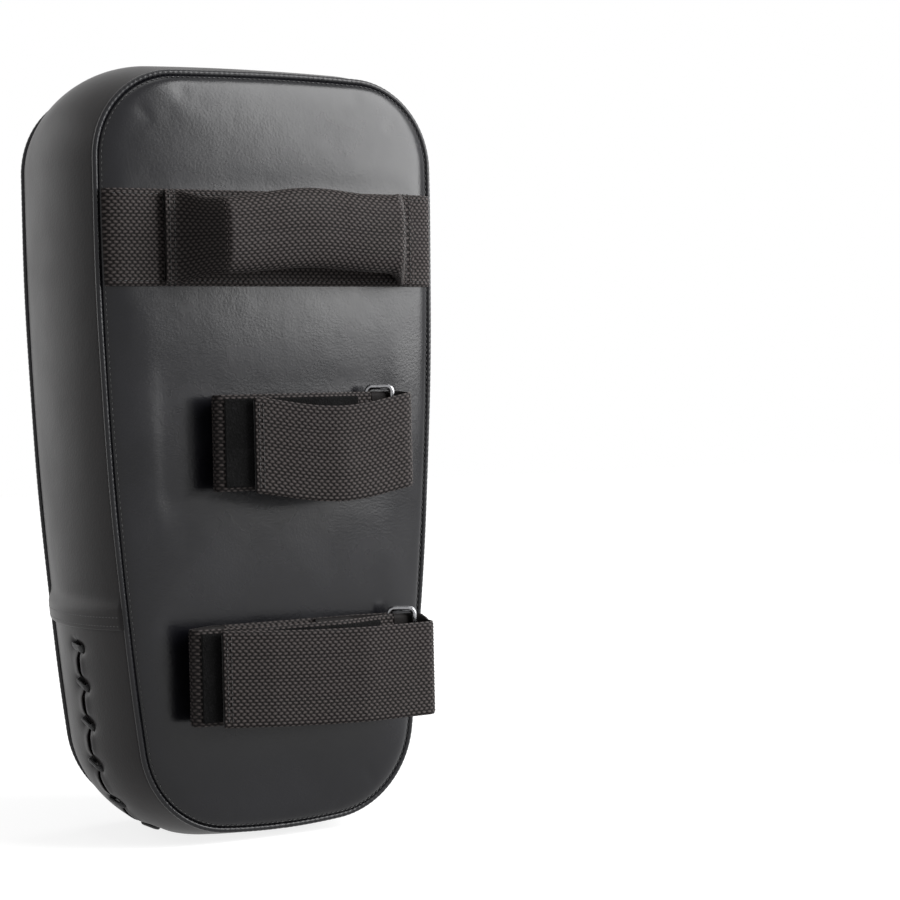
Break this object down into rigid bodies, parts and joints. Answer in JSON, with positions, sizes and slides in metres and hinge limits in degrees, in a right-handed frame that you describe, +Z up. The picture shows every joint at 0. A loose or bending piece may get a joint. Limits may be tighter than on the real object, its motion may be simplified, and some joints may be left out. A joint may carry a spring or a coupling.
{
  "type": "thai pad",
  "caption": "Forearm kick pad: laced foam-filled leather body, padded grip handle and two hook-and-loop webbing straps with metal rings.",
  "frame": {"origin": "on the ground, on the flat of the heel just behind the lacing, 15 mm behind the middle plane of the pad and midway across it", "axes": "+Z up along the pad towards its handle end, +Y out of the strap side, striking face towards -Y, +X to the left when looking at the strap side"},
  "size_m": [0.2186, 0.1442, 0.4155],
  "materials": {
    "cover": "fine-grained polyurethane leather, satin",
    "side_cover": "fine-grained polyurethane leather, satin",
    "piping": "polyurethane leather welt",
    "lace": "woven flat lace, matt",
    "firm_foam": "closed-cell EVA foam, matt",
    "core_foam": "closed-cell polyethylene foam, matt",
    "grip_foam": "closed-cell foam rod, matt",
    "print": "transfer film, satin",
    "webbing": "coarse woven polypropylene webbing",
    "pile": "matt loop pile",
    "hook": "moulded hook tape",
    "ring_steel": "dark chromed steel wire"
  },
  "bodies": {
    "pad": {"front_panel": "cover", "back_panel": "cover", "upper_gusset": "side_cover", "lower_gusset": "side_cover", "front_piping": "piping", "back_piping": "piping", "lacing_tongue": "side_cover", "lace": "lace", "strike_foam": "firm_foam", "core_foam": "core_foam", "back_foam": "firm_foam", "front_band": "print", "front_roundel": "print", "handle_base_strip": "webbing", "handle_left_end": "webbing", "handle_right_end": "webbing", "upper_strap_base": "webbing", "upper_strap_loop": "webbing", "upper_pile_tape": "pile", "lower_strap_base": "webbing", "lower_strap_loop": "webbing", "lower_pile_tape": "pile"},
    "grip": {"handle_sleeve": "webbing", "handle_core": "grip_foam"},
    "upper_ring_body": {"upper_ring": "ring_steel"},
    "upper_flap_body": {"upper_flap": "webbing", "upper_hook_tape": "hook"},
    "lower_ring_body": {"lower_ring": "ring_steel"},
    "lower_flap_body": {"lower_flap": "webbing", "lower_hook_tape": "hook"}
  },
  "joints": [
    {"name": "handle_rock", "type": "hinge", "parent": "pad", "child": "grip", "pos_m": [-0.008, 0.04187, 0.3195], "axis": [1, 0, 0], "range_deg": [-15, 15], "stiffness_Nm_per_rad": 1},
    {"name": "upper_ring_swing", "type": "hinge", "parent": "pad", "child": "upper_ring_body", "pos_m": [-0.051, 0.04525, 0.2125], "axis": [0, 0, -1], "range_deg": [0, 35]},
    {"name": "upper_flap_peel", "type": "hinge", "parent": "pad", "child": "upper_flap_body", "pos_m": [-0.049, 0.06845, 0.2125], "axis": [0, 0, 1], "range_deg": [0, 150]},
    {"name": "lower_ring_swing", "type": "hinge", "parent": "pad", "child": "lower_ring_body", "pos_m": [-0.062, 0.04525, 0.092], "axis": [0, 0, -1], "range_deg": [0, 35]},
    {"name": "lower_flap_peel", "type": "hinge", "parent": "pad", "child": "lower_flap_body", "pos_m": [-0.06, 0.06845, 0.092], "axis": [0, 0, 1], "range_deg": [0, 150]}
  ]
}
